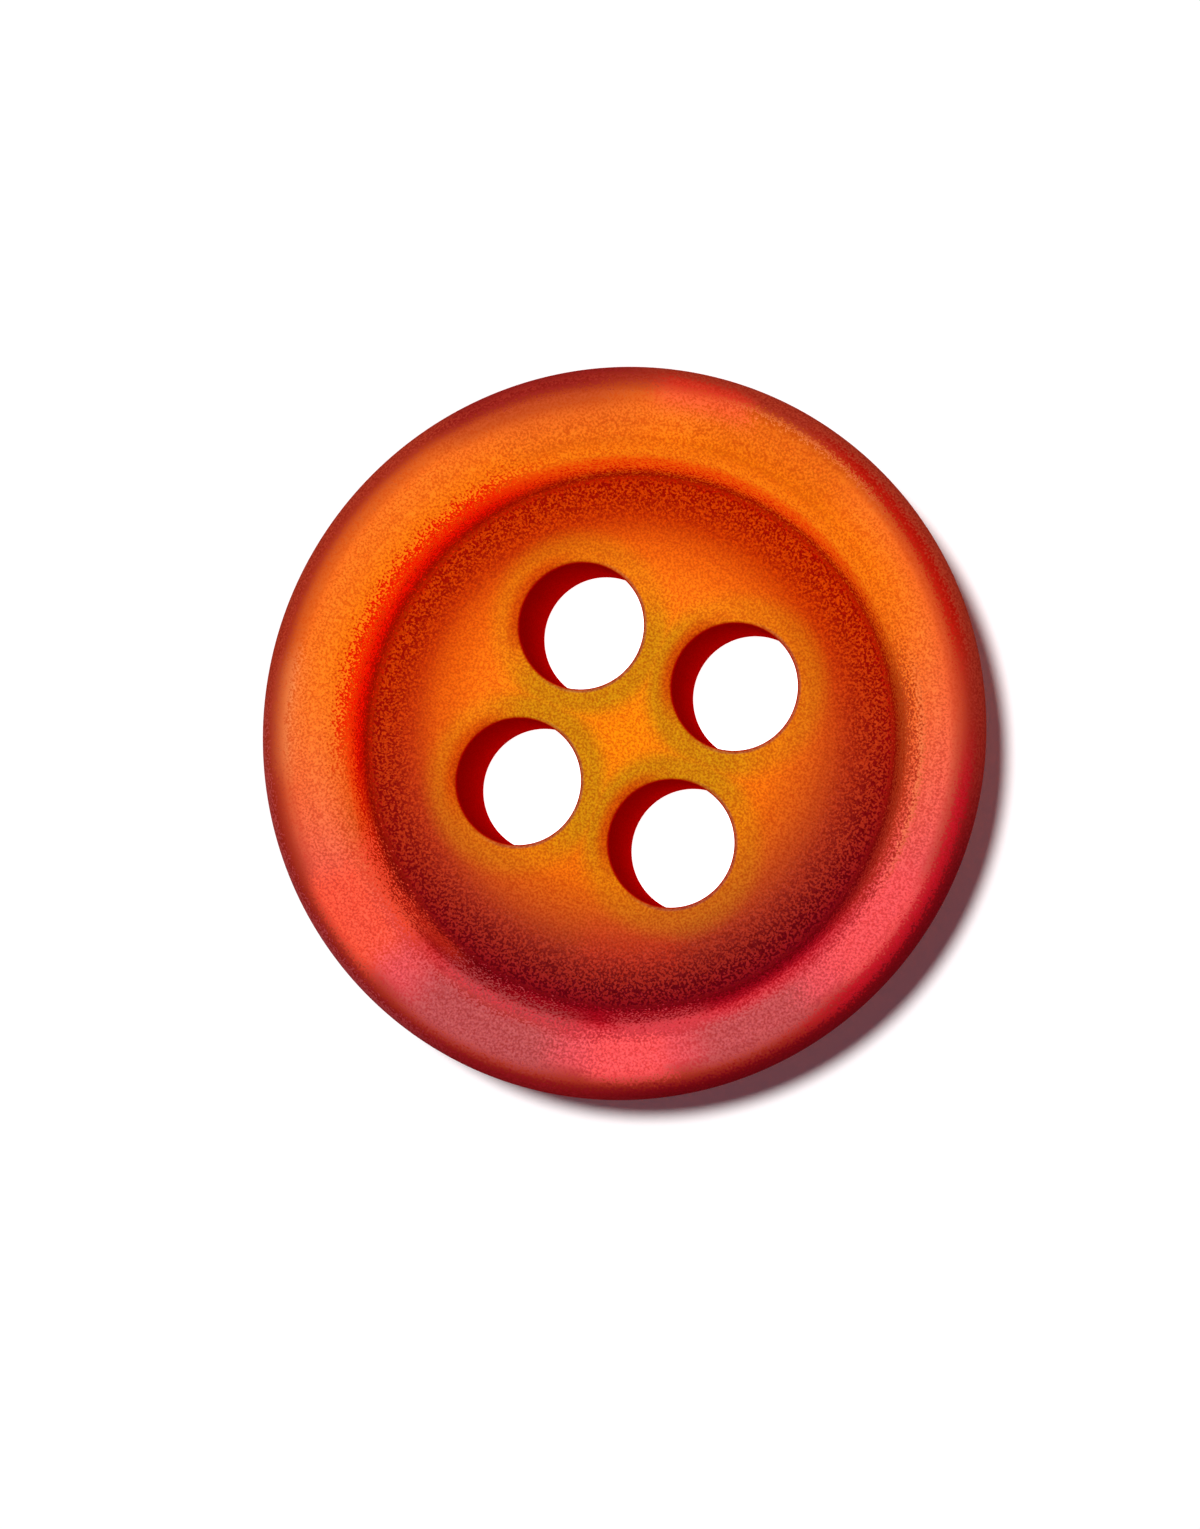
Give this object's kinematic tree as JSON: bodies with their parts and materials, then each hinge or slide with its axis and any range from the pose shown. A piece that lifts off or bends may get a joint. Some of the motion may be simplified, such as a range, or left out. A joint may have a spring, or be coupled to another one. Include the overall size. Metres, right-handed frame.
{
  "type": "four-hole sewing button",
  "caption": "Round sew-through button with a raised rim, a dished face, thread holes in a square and a flat back with a bevelled edge.",
  "frame": {"origin": "centre of the flat back, on the surface the button lies on", "axes": "+Z out of the face, along the turning axis; +X and +Y along the sides of the square of thread holes"},
  "size_m": [0.0116, 0.0116, 0.003],
  "materials": {
    "resin": "satin, translucent orange to crimson resin"
  },
  "bodies": {
    "root": {"button": "resin"}
  },
  "joints": []
}
